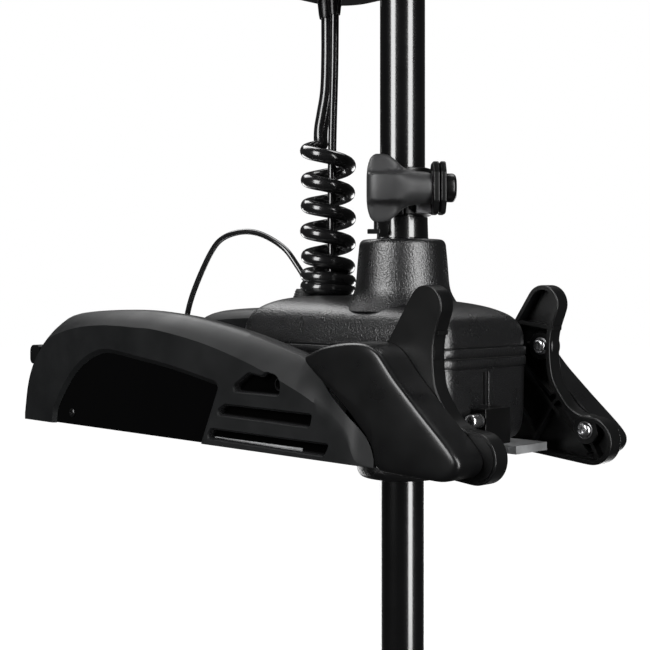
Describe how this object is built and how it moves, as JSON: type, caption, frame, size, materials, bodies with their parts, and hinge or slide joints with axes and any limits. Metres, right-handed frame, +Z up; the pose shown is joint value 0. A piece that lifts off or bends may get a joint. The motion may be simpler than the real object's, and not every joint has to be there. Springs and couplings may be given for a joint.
{
  "type": "trolling motor",
  "caption": "Bow-mount electric-steer trolling motor: deck mount with side covers and ramps, tilting steering housing, sliding shaft, control head and propeller motor",
  "frame": {"origin": "middle of the deck face, on the underside of the base plate", "axes": "+X forward to the bow, +Y to port, +Z up, along the lowered shaft"},
  "size_m": [0.506, 0.17, 1.3974],
  "materials": {
    "raw_aluminium": "raw cut extrusion, lightly brushed",
    "cover_plastic": "satin moulded black-grey",
    "gloss_panel": "polished black, plain",
    "arm_plastic": "satin smooth black",
    "ramp_plastic": "satin glass-filled black",
    "housing_textured": "fine textured black coat on a casting",
    "shaft_black": "glossy black composite",
    "steel": "stainless, satin",
    "rubber": "matte black",
    "cord_jacket": "glossy black cable jacket",
    "bronze": "plain",
    "nylon": "natural nylon",
    "circuit": "coated circuit board",
    "lens": "smoked clear",
    "motor_paint": "satin black paint",
    "magnet": "sintered ferrite",
    "prop_plastic": "satin moulded black"
  },
  "bodies": {
    "mount": {"base_extrusion": "raw_aluminium", "right_side_cover": "cover_plastic", "left_side_cover": "cover_plastic", "right_side_panel": "gloss_panel", "left_side_panel": "gloss_panel", "right_arm_cover": "arm_plastic", "left_arm_cover": "arm_plastic", "right_motor_ramp": "ramp_plastic", "left_motor_ramp": "ramp_plastic", "right_upper_ramp_screw": "steel", "right_lower_ramp_screw": "steel", "left_upper_ramp_screw": "steel", "left_lower_ramp_screw": "steel", "tilt_pin": "steel", "pedal_pin": "steel", "pedal_spring": "steel", "harness_gland": "rubber", "harness_cable": "cord_jacket"},
    "stow_pedal": {"stow_pedal": "ramp_plastic"},
    "release_rod": {"release_rod": "steel"},
    "steering_unit": {"upper_housing": "housing_textured", "lower_housing": "housing_textured", "housing_gasket": "rubber", "right_tilt_bush": "nylon", "left_tilt_bush": "nylon", "latch_block": "ramp_plastic", "steering_motor": "motor_paint", "upper_bearing": "nylon", "lower_bearing": "nylon", "shaft_seal": "rubber", "control_board": "circuit", "coil_cord_gland": "rubber", "sensor_cable_gland": "rubber", "coil_cord": "cord_jacket", "coil_cord_tail": "cord_jacket", "sensor_cable": "cord_jacket"},
    "latch_pin": {"latch_pin": "steel"},
    "motor_pinion": {"motor_pinion": "steel"},
    "idler_gear": {"idler_gear": "bronze"},
    "steer_tube": {"drive_tube": "shaft_black", "output_gear": "bronze", "depth_collar": "ramp_plastic", "collar_clamp_plate": "ramp_plastic", "collar_bolt": "ramp_plastic"},
    "collar_knob": {"collar_knob": "arm_plastic"},
    "shaft_unit": {"shaft": "shaft_black", "head_lower_shell": "arm_plastic", "head_upper_shell": "arm_plastic", "head_lens": "lens", "motor_housing": "motor_paint", "nose_cone": "motor_paint", "tail_housing": "motor_paint", "upper_magnet": "magnet", "lower_magnet": "magnet", "brush_plate": "nylon"},
    "rotor": {"armature": "bronze", "motor_shaft": "steel", "drive_pin": "steel", "propeller": "prop_plastic", "prop_nut": "steel"}
  },
  "joints": [
    {"name": "stow_tilt", "type": "hinge", "parent": "mount", "child": "steering_unit", "pos_m": [0.028, 0, 0.035], "axis": [0, -1, 0], "range_deg": [0, 90], "deforming": ["harness_cable"]},
    {"name": "steer", "type": "hinge", "parent": "steering_unit", "child": "steer_tube", "pos_m": [0.12, 0, 0.1], "axis": [0, 0, 1], "range_deg": [-180, 180]},
    {"name": "depth_slide", "type": "slide", "parent": "steer_tube", "child": "shaft_unit", "axis": [0, 0, 1], "range_m": [0, 0.69], "deforming": ["coil_cord", "coil_cord_tail", "sensor_cable"]},
    {"name": "propeller_spin", "type": "hinge", "parent": "shaft_unit", "child": "rotor", "pos_m": [-0.079, 0, -0.878], "axis": [1, 0, 0], "continuous": true},
    {"name": "collar_knob_turn", "type": "hinge", "parent": "steer_tube", "child": "collar_knob", "pos_m": [0.14247, -0.02208, 0.1615], "axis": [0.7009, 0.7132, 0], "range_deg": [-25, 25]},
    {"name": "pedal_press", "type": "hinge", "parent": "mount", "child": "stow_pedal", "pos_m": [-0.146, 0, 0.024], "axis": [0, -1, 0], "range_deg": [0, 10], "stiffness_Nm_per_rad": 1, "springref_deg": -20.05},
    {"name": "release_slide", "type": "slide", "parent": "mount", "child": "release_rod", "axis": [1, 0, 0], "range_m": [0, 0.006]},
    {"name": "latch_slide", "type": "slide", "parent": "steering_unit", "child": "latch_pin", "axis": [0, 1, 0], "range_m": [0, 0.006]},
    {"name": "idler_spin", "type": "hinge", "parent": "steering_unit", "child": "idler_gear", "pos_m": [0.081, 0, 0.075], "axis": [0, 0, 1], "range_deg": [-610, 610]},
    {"name": "motor_spin", "type": "hinge", "parent": "steering_unit", "child": "motor_pinion", "pos_m": [0.0555, 0, 0.07], "axis": [0, 0, 1], "range_deg": [-1450, 1450]}
  ],
  "couplings": [
    {"joint": "idler_spin", "follows": "steer", "ratio": -3.3333},
    {"joint": "motor_spin", "follows": "steer", "ratio": 8},
    {"joint": "release_slide", "follows": "pedal_press", "m_per_rad": 0.034},
    {"joint": "latch_slide", "follows": "pedal_press", "m_per_rad": 0.034}
  ]
}
